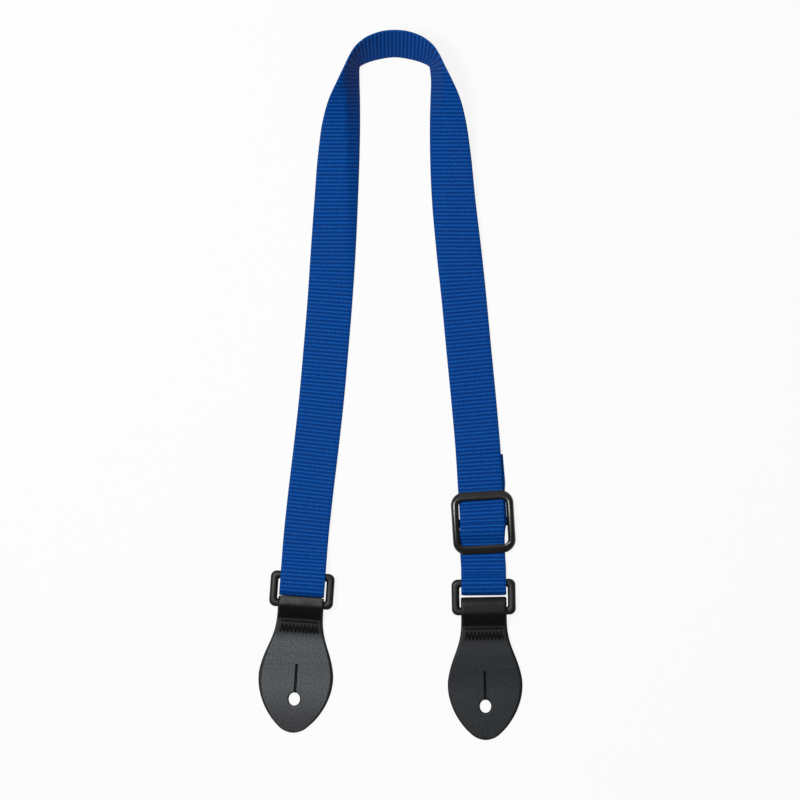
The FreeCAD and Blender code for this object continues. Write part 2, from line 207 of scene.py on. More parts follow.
def bend_rows():
    """Rows over the raised bend, which leans inwards, from the left leg to the right."""
    left = []
    right = []
    for ox, oy, ix, iy, share in BEND_HALF:
        high = BEND_RAISE + (BEND_RAISE_MID - BEND_RAISE) * share
        for side, rows in ((1, left), (-1, right)):
            outer = np.array([BEND_CENTRE_X + side * ox, oy, high + REAR_Z])
            inner = np.array([BEND_CENTRE_X + side * ix, iy, REAR_Z])
            rows.append(outer + np.outer(np.linspace(0, 1, COLUMNS), inner - outer))
    return left + right[-2::-1]


def hump(y):
    """How far the webbing is lifted over the slider's centre bar."""
    return HUMP_RISE * ease((HUMP_FLAT + HUMP_RUN - abs(y - SLIDER[1])) / HUMP_RUN)


def fold(leg, bar_at, slack, down):
    """Rows round a loop's bar, from the rear layer to the front layer."""
    rows = []
    for step in range(13):
        angle = math.pi * step / 12
        y = bar_at - slack - FOLD_R * math.sin(angle)
        rows.append(flat_row(leg, y, RING_Z - FOLD_R * math.cos(angle)))
    start = bar_at + FOLD_PAST_BAR
    rows.append(flat_row(leg, start, RING_Z + FOLD_R))
    for step in range(1, 7):
        z = RING_Z + FOLD_R + (FRONT_Z - RING_Z - FOLD_R) * ease(step / 6)
        rows.append(flat_row(leg, start + (down - 1) * step / 6, z))
    rows.append(flat_row(leg, start + down, FRONT_Z))
    return rows


def bar_y(ring, turn):
    """The place along Y of the bar that the webbing goes round."""
    return ring[1] + BAR_FROM_MIDDLE * math.cos(math.radians(turn))


def rows_main():
    """From the sewn end, round the left loop, over the bend and down the right leg."""
    left_bar = bar_y(RING_LEFT, RING_LEFT_TURN)
    rear_end = left_bar - FOLD_PAST_BAR
    rows = [flat_row(LEFT_LEG, y, REAR_Z) for y in steps(LAP_END_Y, rear_end, 8)]
    rows += fold(LEFT_LEG, left_bar, WEB_SLACK_LEFT, FOLD_DOWN_LEFT)
    rows += [flat_row(LEFT_LEG, y, FRONT_Z) for y in steps(left_bar + 20, LAP_END_Y + 2, 6)]
    for y in steps(LAP_END_Y + 4, LAP_END_Y + 14, 2):
        share = ease((y - LAP_END_Y - 3) / LAYER_STEP)
        rows.append(flat_row(LEFT_LEG, y, FRONT_Z + (REAR_Z - FRONT_Z) * share))
    rows += [flat_row(LEFT_LEG, y, REAR_Z) for y in steps(LAP_END_Y + 20, 44, 13)]
    rows += rise_rows(LEFT_RISE)
    rows += bend_rows()
    rows += rise_rows(RIGHT_RISE[::-1])
    rows += [flat_row(RIGHT_LEG, y, REAR_Z) for y in steps(44, RIGHT_STEP_Y + 2, 13)]
    for y in steps(RIGHT_STEP_Y - 1, RIGHT_STEP_Y - LAYER_STEP, 2):
        share = ease((RIGHT_STEP_Y - y) / LAYER_STEP)
        rows.append(flat_row(RIGHT_LEG, y, REAR_Z + (FRONT_Z - REAR_Z) * share))
    rows += [flat_row(RIGHT_LEG, y, FRONT_Z) for y in steps(RIGHT_STEP_Y - 13, STILL_TO_Y, 1)]
    return rows


def rows_upper():
    """The same webbing on from there, down to the top of the slider's bar."""
    places = steps(STILL_TO_Y, SLIDER[1], 1.5)
    return [flat_row(RIGHT_LEG, y, FRONT_Z + hump(y)) for y in places]


def tail_shift(y):
    return float(np.interp(y, TAIL_AT, TAIL_SHIFT))


def sway(y):
    """Under the slider's lower half the webbing lies a little towards the left."""
    share = (y - RIGHT_FLAT_Y) / (SLIDER[1] - RIGHT_FLAT_Y)
    return -SWAY * math.sin(math.pi * min(1.0, max(0.0, share)))


def rows_tail():
    """The free end, from its cut to the top of the slider's bar."""
    places = steps(TAIL_END_Y, SLIDER[1], 1.5)
    return [flat_row(RIGHT_LEG, y, REAR_Z + hump(y), tail_shift(y)) for y in places]


def rows_lower():
    """From the bar down under the slider, round the right loop and back up to the bar."""
    right_bar = bar_y(RING_RIGHT, RING_RIGHT_TURN)
    rows = []
    for y in steps(SLIDER[1], right_bar - FOLD_PAST_BAR, 1.5):
        rows.append(flat_row(RIGHT_LEG, y, REAR_Z + hump(y), tail_shift(y) + sway(y)))
    down = RIGHT_FLAT_Y - 1 - right_bar - FOLD_PAST_BAR
    rows += fold(RIGHT_LEG, right_bar, WEB_SLACK_RIGHT, down)
    for y in steps(RIGHT_FLAT_Y, SLIDER[1], 1.5):
        rows.append(flat_row(RIGHT_LEG, y, FRONT_Z + hump(y), sway(y)))
    return rows


def finished(name, bm, look):
    """Turns a finished bmesh into a piece of the scene with one material."""
    mesh = bpy.data.meshes.new(name)
    bm.to_mesh(mesh)
    bm.free()
    mesh.materials.append(look)
    piece = bpy.data.objects.new(name, mesh)
    bpy.context.scene.collection.objects.link(piece)
    return piece


def webbing_piece(name, rows, look, woven_before=0.0, around=64, rib_steps=4):
    """A closed band of ribbed webbing: a flat grid wrapped round the webbing's section."""
    rows = np.array(rows) + ORIGIN_SHIFT
    middle = rows[:, COLUMNS // 2]
    at = np.concatenate([[0], np.cumsum(np.linalg.norm(np.diff(middle, axis=0), axis=1))])
    length = at[-1]
    count = int(length / RIB_PITCH * rib_steps)
    where = np.linspace(0, length, count + 1)
    dense = np.stack([curve_through(at, rows[:, k], where) for k in range(COLUMNS)], axis=1)
    along = np.gradient(dense, axis=0)
    across = np.gradient(dense, axis=1)
    normal = np.cross(across, along)
    normal /= np.linalg.norm(normal, axis=2)[:, :, None]
    rib = RIB_DEPTH * (1 - np.abs(np.sin(np.pi * (where + woven_before) / RIB_PITCH)) ** 0.6)
    shares = np.linspace(0, 1, COLUMNS)

    bm = bmesh.new()
    bmesh.ops.create_grid(bm, x_segments=count, y_segments=around, size=0.5)
    uv = bm.loops.layers.uv.new("UVMap")
    girth = 2 * (WEB_WIDTH + WEB_THICK) * MM
    for face in bm.faces:
        for loop in face.loops:
            co = loop.vert.co
            woven = woven_before + (co.x + 0.5) * length
            loop[uv].uv = (woven * MM, (co.y + 0.5) * girth)
    half = WEB_THICK / 2
    for vert in bm.verts:
        i = round((vert.co.x + 0.5) * count)
        turn = (vert.co.y + 0.5) * around
        face_steps = around // 2 - 2
        if turn <= face_steps:
            u, lift = turn / face_steps, 1.0
        elif turn < around / 2:
            u, lift = 1.0, 1.0 - (turn - face_steps)
        elif turn <= around / 2 + face_steps:
            u, lift = 1.0 - (turn - around / 2) / face_steps, -1.0
        else:
            u, lift = 0.0, -1.0 + (turn - around / 2 - face_steps)
        edge = min(u, 1 - u) * WEB_WIDTH
        slim = 1.0 - WEB_EDGE_THIN * max(0.0, 1.0 - edge / WEB_EDGE_TAPER) ** 1.6
        place = np.array([np.interp(u, shares, dense[i, :, k]) for k in range(3)])
        way = np.array([np.interp(u, shares, normal[i, :, k]) for k in range(3)])
        sink = rib[i] if abs(lift) > 0.9 else 0.0
        vert.co = Vector((place + way * (lift * (half * slim - sink))) * MM)
    bmesh.ops.remove_doubles(bm, verts=bm.verts, dist=1e-6)
    for face in bm.faces:
        face.smooth = True
    bmesh.ops.holes_fill(bm, edges=[e for e in bm.edges if e.is_boundary], sides=0)
    bmesh.ops.recalc_face_normals(bm, faces=bm.faces)
    return finished(name, bm, look), length


def linear(hex_colour):
    """An sRGB hex colour as linear red, green, blue and alpha."""
    values = [int(hex_colour[i:i + 2], 16) / 255 for i in (1, 3, 5)]
    return [v / 12.92 if v <= 0.04045 else ((v + 0.055) / 1.055) ** 2.4 for v in values] + [1.0]


def new_material(name):
    material = bpy.data.materials.new(name)
    material.use_nodes = True
    tree = material.node_tree
    return material, tree, tree.nodes["Principled BSDF"]


def node(tree, kind, links=None, **settings):
    """Adds a node and links its inputs from (node, output) pairs.

    A setting with a capital is an input by its name, in_1 is input number 1, and stops
    are a ramp's (position, hex colour) pairs. Any other setting is the node's own.
    """
    made = tree.nodes.new(kind)
    for key, value in settings.items():
        if key == "stops":
            held = made.color_ramp.elements
            for k, (at, colour) in enumerate(value):
                stop = held[k] if k < 2 else held.new(at)
                stop.position = at
                stop.color = linear(colour)
        elif key[0].isupper():
            made.inputs[key].default_value = value
        elif key.startswith("in_"):
            made.inputs[int(key[3:])].default_value = value
        else:
            setattr(made, key, value)
    for key, (source, output) in (links or {}).items():
        tree.links.new(source.outputs[output], made.inputs[key])
    return made


# The real yarns lie under 1 mm apart and are too fine to show, so they are drawn coarser.
YARN_PITCH = 1.4


def webbing_material():
    """Woven polyester, dyed royal blue: matt and deep, with a painted highlight on the yarn tops of
    each rib and painted shade in the valleys between.
    """
    material, tree, shader = new_material("ribbed_polyester_webbing")
    place = node(tree, "ShaderNodeUVMap", uv_map="UVMap")
    apart = node(tree, "ShaderNodeSeparateXYZ", {0: (place, 0)})
    rib_turn = math.pi / (RIB_PITCH * MM)
    rib_at = node(tree, "ShaderNodeMath", {0: (apart, 0)}, operation="MULTIPLY", in_1=rib_turn)
    rib_wave = node(tree, "ShaderNodeMath", {0: (rib_at, 0)}, operation="SINE")
    rib_high = node(tree, "ShaderNodeMath", {0: (rib_wave, 0)}, operation="ABSOLUTE")
    rib_top = node(tree, "ShaderNodeMath", {0: (rib_high, 0)}, operation="POWER", in_1=2.5)
    yarn_turn = math.pi / (YARN_PITCH * MM)
    yarn_at = node(tree, "ShaderNodeMath", {0: (apart, 1)}, operation="MULTIPLY", in_1=yarn_turn)
    yarn_wave = node(tree, "ShaderNodeMath", {0: (yarn_at, 0)}, operation="SINE")
    yarn_high = node(tree, "ShaderNodeMath", {0: (yarn_wave, 0)}, operation="ABSOLUTE")
    yarn_lift = node(
        tree, "ShaderNodeMath", {0: (yarn_high, 0)}, operation="MULTIPLY_ADD", in_1=0.6, in_2=0.4
    )
    floats = node(
        tree, "ShaderNodeMath", {0: (rib_top, 0), 1: (yarn_lift, 0)}, operation="MULTIPLY"
    )
    weave = node(tree, "ShaderNodeMath", {0: (floats, 0)}, operation="MULTIPLY", in_1=0.6)
    # A unit here is one rib long and two yarns wide, and a cell of the noise is 1 / 1.6 of
    # that, about the size of one float of yarn.
    cell = (1 / (RIB_PITCH * MM), 0.5 / (YARN_PITCH * MM), 1)
    stretch = node(tree, "ShaderNodeMapping", {0: (place, 0)}, Scale=cell)
    grain = node(
        tree, "ShaderNodeTexNoise", {0: (stretch, 0)}, Scale=1.6, Detail=3.0, Roughness=0.8
    )
    height = node(
        tree, "ShaderNodeMath", {0: (grain, 0), 2: (weave, 0)}, operation="MULTIPLY_ADD", in_1=0.5
    )
    # The ramp paints a highlight on the rib and yarn tops and shade in the valleys, over the yarns'
    # own random tone from the noise.
    rib_lit_and_shaded_blues = ((0.25, "#002F6C"), (0.5, "#003F8F"), (0.7, "#094B98"), (0.88, "#1A5FAA"))
    ramp = node(tree, "ShaderNodeValToRGB", {0: (height, 0)}, stops=rib_lit_and_shaded_blues)
    tree.links.new(ramp.outputs[0], shader.inputs["Base Color"])
    bump = node(tree, "ShaderNodeBump", {"Height": (height, 0)}, Strength=0.6, Distance=0.15 * MM)
    tree.links.new(bump.outputs[0], shader.inputs["Normal"])
    shader.inputs["Roughness"].default_value = 0.7
    shader.inputs["Specular IOR Level"].default_value = 0.06
    return material


webbing_look = webbing_material()
webbing_main, length_main = webbing_piece("webbing_main", rows_main(), webbing_look)
webbing_upper, length_upper = webbing_piece(
    "webbing_upper", rows_upper(), webbing_look, length_main
)
webbing_tail, length_tail = webbing_piece("webbing_tail", rows_tail(), webbing_look)
webbing_lower, length_lower = webbing_piece("webbing_lower", rows_lower(), webbing_look)

# Along the way that the slider takes, measured from its middle: the webbing goes all
# the way with it near it, and lies still from 33 mm above and 24.5 mm below.
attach(webbing_main, "strap")
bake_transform(webbing_upper)
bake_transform(webbing_tail)
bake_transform(webbing_lower)
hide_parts("webbing_shoulder")
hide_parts("webbing_shoulder")
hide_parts("webbing_adjuster")
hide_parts("webbing_return")

# ---------------------------------------------------------------------------
# The two loops: injection-moulded acetal, black and matt, one rectangle of
# nearly round bar each, with tight corners. The webbing goes round the upper
# bar and the leather round the lower one.
# ---------------------------------------------------------------------------

RING_SIDE_CLEAR = 0.9
RING_WIDTH = WEB_WIDTH + 2 * RING_SIDE_CLEAR + 4 * RING_BAR_R
RING_OUTER_CORNER = 3.5
RING_INNER_CORNER = 0.8
RING_SQUARENESS = 2.6  # 2 gives a round bar, more gives a squarer one
SIDES = (("left", RING_LEFT, RING_LEFT_TURN), ("right", RING_RIGHT, RING_RIGHT_TURN))


def set_down(x, y, z, place, turn):
    """A point of a part, turned by some degrees and moved to its place, in metres."""
    cos_turn, sin_turn = math.cos(math.radians(turn)), math.sin(math.radians(turn))
    across = place[0] + ORIGIN_SHIFT[0] + x * cos_turn - y * sin_turn
    up = place[1] + ORIGIN_SHIFT[1] + x * sin_turn + y * cos_turn
    return Vector((across, up, z)) * MM


def round_frame(half_x, half_y, radius, sides, corner):
    """Points round a rectangle with round corners, the same number for any size."""
    turns = []
    for sx, sy, start in ((1, -1, -90), (1, 1, 0), (-1, 1, 90), (-1, -1, 180)):
        middle = np.array([sx * (half_x - radius), sy * (half_y - radius)])
        for k in range(corner + 1):
            angle = math.radians(start + 90 * k / corner)
            turns.append(middle + radius * np.array([math.cos(angle), math.sin(angle)]))
    points = []
    for i, point in enumerate(turns):
        points.append(point)
        if i % (corner + 1) == corner:
            ahead = turns[(i + 1) % len(turns)]
            points += [point + (ahead - point) * k / sides for k in range(1, sides)]
    return np.array(points)


def moulded_frame(outer, inner, low, high, squareness, place, turn, around=28):
    """A closed frame whose bar lies between two outlines and between two heights."""
    count = len(outer)
    bm = bmesh.new()
    bmesh.ops.create_grid(bm, x_segments=count, y_segments=around, size=0.5)
    for vert in bm.verts:
        i = round((vert.co.x + 0.5) * count) % count
        angle = 2 * math.pi * round((vert.co.y + 0.5) * around) / around
        a, b = (
            math.copysign(abs(v) ** (2 / squareness), v)
            for v in (math.cos(angle), math.sin(angle))
        )
        share = (a + 1) / 2
        x, y = inner[i] + (outer[i] - inner[i]) * share
        bottom, top = low(x, y), high(x, y, share)
        vert.co = set_down(x, y, bottom + (top - bottom) * (b + 1) / 2, place, turn)
    bmesh.ops.remove_doubles(bm, verts=bm.verts, dist=1e-7)
    bmesh.ops.recalc_face_normals(bm, faces=bm.faces)
    for face in bm.faces:
        face.smooth = True
    return bm


def plastic_material(name, roughness, shine):
    """Moulded acetal: near black with a brown cast, a soft highlight along each bar."""
    material, tree, shader = new_material(name)
    place = node(tree, "ShaderNodeTexCoord")
    # The melt flows into clouds about 11 mm wide.
    flow = node(tree, "ShaderNodeTexNoise", {0: (place, 3)}, Scale=1 / (11.1 * MM), Detail=2.0)
    blacks = ((0.35, "#0C0B0B"), (0.65, "#171513"))
    ramp = node(tree, "ShaderNodeValToRGB", {0: (flow, 0)}, stops=blacks)
    tree.links.new(ramp.outputs[0], shader.inputs["Base Color"])
    # The mould leaves specks about 0.1 mm wide, drawn coarser here so that they show.
    speck = node(tree, "ShaderNodeTexNoise", {0: (place, 3)}, Scale=1 / (0.667 * MM), Detail=2.0)
    bump = node(tree, "ShaderNodeBump", {"Height": (speck, 0)}, Strength=0.05, Distance=0.1 * MM)
    tree.links.new(bump.outputs[0], shader.inputs["Normal"])
    shader.inputs["Roughness"].default_value = roughness
    shader.inputs["Specular IOR Level"].default_value = shine
    shader.inputs["IOR"].default_value = 1.48
    return material


loop_look = plastic_material("moulded_black_acetal_matt", 0.46, 0.32)
ring_outer = round_frame(RING_WIDTH / 2, RING_HEIGHT / 2, RING_OUTER_CORNER, 12, 10)
ring_inner = round_frame(
    RING_WIDTH / 2 - 2 * RING_BAR_R, RING_HEIGHT / 2 - 2 * RING_BAR_R, RING_INNER_CORNER, 12, 10
)
for side, place, turn in SIDES:
    ring_mesh = moulded_frame(
        ring_outer, ring_inner,
        lambda x, y: RING_Z - RING_BAR_R, lambda x, y, share: RING_Z + RING_BAR_R,
        RING_SQUARENESS, place, turn,
    )
    ring = finished("loop_" + side, ring_mesh, loop_look)
    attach(ring, "ring_" + side)
    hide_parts("ring_" + side)

# ---------------------------------------------------------------------------
# The slider: moulded in one with its bridge, from the same acetal. Its end bars
# stand clear of the lower layers, its side bars swell in the middle, and the
# webbing is led over the bridge between them.
# ---------------------------------------------------------------------------

SLIDER_TURN = 3.4
SLIDER_SIDE_CLEAR = 0.7
SLIDER_SIDE_BAR = 4.25
SLIDER_END_BAR = 4.8
SLIDER_WIDTH = WEB_WIDTH + 2 * SLIDER_SIDE_CLEAR + 2 * SLIDER_SIDE_BAR
SLIDER_HEIGHT = 34.7
SLIDER_OUTER_CORNER = 7.2
SLIDER_INNER_CORNER = 2.6
SLIDER_SQUARENESS = 2.5
SLIDER_LOW = 0.2
SLIDER_TOP = 6.1
SLIDER_END_DROP = 1.1  # how much lower the top is at the two ends
SLIDER_RIM_DROP = 0.8  # and how much more at their outer rim
END_BAR_CLEAR = 3.0  # how much higher the end bars' undersides are
END_BAR_FROM_Y = 10.5
END_BAR_HALF = 13.6
BRIDGE_TOP = 2.4
BRIDGE_WIDE = 5.0
BRIDGE_INTO_BARS = 3.0  # how far short of the slider's outer rim the bridge ends
BRIDGE_ROUND = 0.8


def slider_low(x, y):
    """The underside, which is raised under the two end bars."""
    under_end = ease((abs(y) - END_BAR_FROM_Y) / 1.5) * ease((END_BAR_HALF - abs(x)) / 0.8)
    return SLIDER_LOW + END_BAR_CLEAR * under_end


def slider_high(x, y, share):
    """The top: highest halfway along the side bars, lowest at the ends' outer rim."""
    far = abs(y) / (SLIDER_HEIGHT / 2)
    return SLIDER_TOP - SLIDER_END_DROP * far**2 - SLIDER_RIM_DROP * share * far**4


slider_outer = round_frame(SLIDER_WIDTH / 2, SLIDER_HEIGHT / 2, SLIDER_OUTER_CORNER, 20, 14)
slider_inner = round_frame(
    SLIDER_WIDTH / 2 - SLIDER_SIDE_BAR, SLIDER_HEIGHT / 2 - SLIDER_END_BAR, SLIDER_INNER_CORNER,
    20, 14,
)
slider_mesh = moulded_frame(
    slider_outer, slider_inner, slider_low, slider_high, SLIDER_SQUARENESS, SLIDER, SLIDER_TURN, 36
)
bridge = bmesh.ops.create_cube(slider_mesh, size=1.0)["verts"]
for vert in bridge:
    x, y = vert.co.x * (SLIDER_WIDTH - 2 * BRIDGE_INTO_BARS), vert.co.y * BRIDGE_WIDE
    z = SLIDER_LOW + (BRIDGE_TOP - SLIDER_LOW) * (vert.co.z + 0.5)
    vert.co = set_down(x, y, z, SLIDER, SLIDER_TURN)
long_edges = [
    e for e in slider_mesh.edges
    if e.verts[0] in bridge and e.verts[1] in bridge and e.calc_length() > 20 * MM
]
bmesh.ops.bevel(
    slider_mesh, geom=long_edges, offset=BRIDGE_ROUND * MM, segments=4, affect="EDGES",
    profile=0.5, material=-1,
)
slider_look = plastic_material("moulded_black_acetal_satin", 0.26, 0.55)
slider_piece = finished("adjuster_slider", slider_mesh, slider_look)
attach(slider_piece, "slider")
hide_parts("slider")

# ---------------------------------------------------------------------------
# The end tabs: leather 1.6 mm thick, cut with a leaf-shaped die, dyed black and
# inked along the cut edge. Each strip is bent round its loop's bar and sewn to
# itself; a hole and a slit take the instrument's strap button.
# ---------------------------------------------------------------------------

TAB_LENGTH = 79.5
TAB_NECK_HALF = 12.7
TAB_BACK_END = 28.0
TAB_FLAT_FROM = -16.5
TAB_FLAT_TO = -28.3
TAB_DOWN_AT = -53.0
TAB_SLACK = {"left": 0.0, "right": 3.8}
# The leaf shape: half width and distance from the tip.
TAB_OUTLINE = [
    (0.0, 0.0), (5.0, 1.2), (10.1, 5.3), (14.5, 10.8), (18.6, 18.9), (20.5, 26.5), (20.7, 32.5),
    (19.6, 38.6), (17.9, 44.2), (15.8, 49.7), (14.0, 55.3), (13.0, 60.8), (12.7, 66.4),
    (12.7, 72.0),
]
HOLE_Y = 18.8 - TAB_LENGTH
HOLE_HALF = (3.1, 3.6)
SLIT_TOP_Y = 38.5 - TAB_LENGTH
SLIT_HALF = 0.68
SLIT_DEEP = 1.8  # in halves of the leather's thickness, as the next one
SLIT_FLOOR = -0.8
EDGE_ROUND_FRONT = 1.5
EDGE_ROUND_BACK = 0.5
HOLE_ROUND = 0.9
SWELL = 0.1  # how far the blade lies unevenly on the table
TAB_FRONT_Z = LEATHER_THICK * 1.5 + LAYER_GAP


def outline_table():
    """Half widths of the leaf shape at many distances from its tip."""
    points = np.array([(-TAB_OUTLINE[1][0], TAB_OUTLINE[1][1])] + TAB_OUTLINE)
    at = np.concatenate([[0], np.cumsum(np.linalg.norm(np.diff(points, axis=0), axis=1))])
    dense = curve_through(at, points, np.linspace(at[1], at[-1], 900))
    return dense[:, 1], dense[:, 0]


LEAF_FAR, LEAF_HALF = outline_table()


def tab_stations(slack):
    """Places along the strip, from the hidden back end round the bar to the tip."""
    bend = RING_Z - LEATHER_THICK / 2
    rear = LEATHER_THICK / 2
    end = slack - BAR_FROM_MIDDLE
    path = [(y, rear) for y in steps(-TAB_BACK_END, end, 1.0)[:-1]]
    for k in range(25):
        angle = math.radians(-90 + 180 * k / 24)
        path.append((end + bend * math.cos(angle), RING_Z + bend * math.sin(angle)))
    top = RING_Z + bend
    level = -BAR_FROM_MIDDLE - 0.5
    path += [(y, top) for y in steps(end, level, 1.0)[1:]]
    for k in range(1, 15):
        y = level + (TAB_FLAT_FROM - level) * k / 14
        path.append((y, top + (TAB_FRONT_Z - top) * ease(k / 14)))
    path += [(y, TAB_FRONT_Z) for y in steps(TAB_FLAT_FROM, TAB_FLAT_TO, 1.0)[1:]]
    hole_half = HOLE_HALF[1]
    levels = steps(TAB_FLAT_TO, SLIT_TOP_Y + 0.5, 0.7)[1:]
    levels += steps(SLIT_TOP_Y + 0.4, SLIT_TOP_Y - 1.5, 0.15)
    levels += steps(SLIT_TOP_Y - 2, HOLE_Y + hole_half + 1.2, 0.8)
    levels += [HOLE_Y + hole_half + d for d in (0.9, 0.6, 0.4, 0.2, 0.08)]
    levels += [HOLE_Y + hole_half * math.cos(math.pi * k / 32) for k in range(33)]
    levels += [HOLE_Y - hole_half - d for d in (0.08, 0.2, 0.4, 0.6, 0.9)]
    levels += steps(HOLE_Y - hole_half - 1.3, 6 - TAB_LENGTH, 0.7)
    levels += [6 * (1 - k / 22) ** 1.8 - TAB_LENGTH for k in range(1, 23)]
    fall = TAB_FRONT_Z - rear
    way_down = TAB_FLAT_TO - TAB_DOWN_AT
    return path + [(y, TAB_FRONT_Z - fall * ease((TAB_FLAT_TO - y) / way_down)) for y in levels]


def tab_piece(name, slack, place, turn, seed, look, ink):
    """The bent strip: a top sheet and a back sheet that meet in a rounded, inked edge."""
    path = np.array(tab_stations(slack))
    along = np.gradient(path, axis=0)
    along /= np.linalg.norm(along, axis=1)[:, None]
    far = np.concatenate([[0], np.cumsum(np.linalg.norm(np.diff(path, axis=0), axis=1))])
    fine = [0.0, 0.25, 0.5, 0.75, 0.95, 1.2, 1.6, 2.2]
    spread = [math.sin(math.pi / 2 * k / 18) for k in range(1, 19)]
    columns = len(fine) + len(spread)
    rows = len(path)
    wave = np.random.default_rng(seed).uniform(0, 6.28, 4)
    bm = bmesh.new()
    uv = bm.loops.layers.uv.new("UVMap")
    for front in (True, False):
        made = bmesh.ops.create_grid(
            bm, x_segments=2 * columns - 1, y_segments=rows - 1, size=0.5
        )["verts"]
        places = {}
        for vert in made:
            column = round((vert.co.x + 0.5) * (2 * columns - 1))
            row = round((vert.co.y + 0.5) * (rows - 1))
            side = 1 if column >= columns else -1
            step = column - columns if side > 0 else columns - 1 - column
            y, z = path[row]
            flat = row > np.argmax(path[:, 1]) and y < SLIT_TOP_Y + 2
            leaf_half = float(np.interp(y + TAB_LENGTH, LEAF_FAR, LEAF_HALF))
            half = leaf_half if y < -12 else TAB_NECK_HALF
            span = (y - HOLE_Y) / HOLE_HALF[1]
            start = HOLE_HALF[0] * math.sqrt(max(0.0, 1 - span * span)) if flat else 0.0
            small = min(1.0, (half - start) / 8)
            if step < len(fine):
                x = start + fine[step] * small
            else:
                near = start + fine[-1] * small
                x = near + (half - near) * spread[step - len(fine)]
            reach = EDGE_ROUND_FRONT if front else EDGE_ROUND_BACK
            lift = math.sqrt(max(0.0, 1 - max(0.0, 1 - (half - x) / reach) ** 2))
            if flat:
                from_tip = (y + TAB_LENGTH) / reach
                lift *= math.sqrt(max(0.0, 1 - max(0.0, 1 - from_tip) ** 2))
                from_hole = (math.hypot(x / HOLE_HALF[0], span) - 1) * HOLE_HALF[0] / HOLE_ROUND
                lift *= math.sqrt(max(0.0, 1 - max(0.0, 1 - max(0.0, from_hole)) ** 2))
                if front and HOLE_Y < y < SLIT_TOP_Y and x < SLIT_HALF:
                    deep = min(1.0, (SLIT_TOP_Y - y) / 1.0)
                    groove = SLIT_DEEP * deep * (1 - x / SLIT_HALF) ** 0.7
                    lift = max(SLIT_FLOOR, lift - groove)
            lift *= 1 if front else -1
            out_y, out_z = along[row][1], -along[row][0]
            soft = 0.0
            if flat:
                soft = SWELL * math.sin(x * side / 6 + wave[0]) * math.sin(y / 7 + wave[1])
            y2 = y + out_y * lift * LEATHER_THICK / 2
            z2 = z + out_z * lift * LEATHER_THICK / 2 + abs(soft)
            laid = set_down(x * side, y2, z2, place, turn)
            places[vert] = (laid, (x * side * MM, far[row] * MM), start, step, y)
        gone = []
        for face in {f for v in made for f in v.link_faces}:
            _, _, starts, columns_here, levels_here = zip(*(places[v] for v in face.verts))
            if max(columns_here) == 0 and max(starts) > 0:
                gone.append(face)
                continue
            beside_middle = max(columns_here) <= 3
            at_hole = all(abs(y - HOLE_Y) <= HOLE_HALF[1] + 0.1 for y in levels_here)
            rim = min(columns_here) >= columns - 6 or (at_hole and beside_middle)
            # The slit is a shallow groove; the black put into it is partly edge ink and partly
            # painted shade that stands in for the dark inside the cut.
            in_slit = all(HOLE_Y < y < SLIT_TOP_Y for y in levels_here)
            slit = front and in_slit and beside_middle
            face.material_index = 1 if rim or slit else 0
            for loop in face.loops:
                loop[uv].uv = places[loop.vert][1]
        bmesh.ops.delete(bm, geom=gone, context="FACES_ONLY")
        for vert, found in places.items():
            vert.co = found[0]
    bmesh.ops.remove_doubles(bm, verts=bm.verts, dist=2e-6)
    bmesh.ops.dissolve_degenerate(bm, edges=bm.edges, dist=1e-6)
    bmesh.ops.holes_fill(bm, edges=[e for e in bm.edges if e.is_boundary], sides=0)
    bmesh.ops.recalc_face_normals(bm, faces=bm.faces)
    for face in bm.faces:
        face.smooth = True
    piece = finished(name, bm, look)
    piece.data.materials.append(ink)
    return piece, float(far[-1]) * MM


TONE_DRIFT = 4.0


def leather_material(name, crest, blade_from, roll_highlight, neck_shade, blade, tip):
    """Dyed black leather with a fine grain, with light and shade painted into its colour along the
    strip.
    """
    material, tree, shader = new_material(name)
    place = node(tree, "ShaderNodeUVMap", uv_map="UVMap")
    apart = node(tree, "ShaderNodeSeparateXYZ", {0: (place, 0)})
    # The tones change along the strip, and clouds 22 mm wide move each change a little.
    cloud = node(tree, "ShaderNodeTexNoise", {0: (place, 0)}, Scale=1 / (22.2 * MM), Detail=3.0)
    drift = node(
        tree, "ShaderNodeMath", {0: (cloud, 0), 2: (apart, 1)},
        operation="MULTIPLY_ADD", in_1=2 * TONE_DRIFT * MM,
    )
    # Painted light along the strip: a painted highlight band on the crest of the bend over the bar,
    # painted shade either side of it and on down to the blade, then a painted sheen on the blade
    # that fades towards the tip.
    tones = (
        (crest - 6, neck_shade), (crest - 3.5, roll_highlight), (crest - 1.8, roll_highlight), (crest + 0.8, neck_shade),
        (blade_from, neck_shade), (blade_from + 3, blade), (blade_from + 28, blade),
        (blade_from + 50, tip),
    )
    stops = [((at + TONE_DRIFT) * MM, colour) for at, colour in tones]
    ramp = node(tree, "ShaderNodeValToRGB", {0: (drift, 0)}, stops=stops)
    # Pores and creases in leather are 0.2 to 0.5 mm wide, and drawn coarser so that they show.
    grain = node(tree, "ShaderNodeTexVoronoi", {0: (place, 0)}, Scale=1 / (0.769 * MM))
    mottle = node(tree, "ShaderNodeTexNoise", {0: (place, 0)}, Scale=1 / (1.176 * MM), Detail=3.0)
    bright = node(
        tree, "ShaderNodeMapRange", {0: (mottle, 0)}, in_1=0.3, in_2=0.7, in_3=0.7, in_4=1.3
    )
    tone = node(tree, "ShaderNodeHueSaturation", {"Color": (ramp, 0), "Value": (bright, 0)})
    tree.links.new(tone.outputs[0], shader.inputs["Base Color"])
    bump = node(tree, "ShaderNodeBump", {"Height": (grain, 0)}, Strength=0.45, Distance=0.15 * MM)
    tree.links.new(bump.outputs[0], shader.inputs["Normal"])
    shader.inputs["Roughness"].default_value = 0.5
    shader.inputs["Specular IOR Level"].default_value = 0.22
    return material


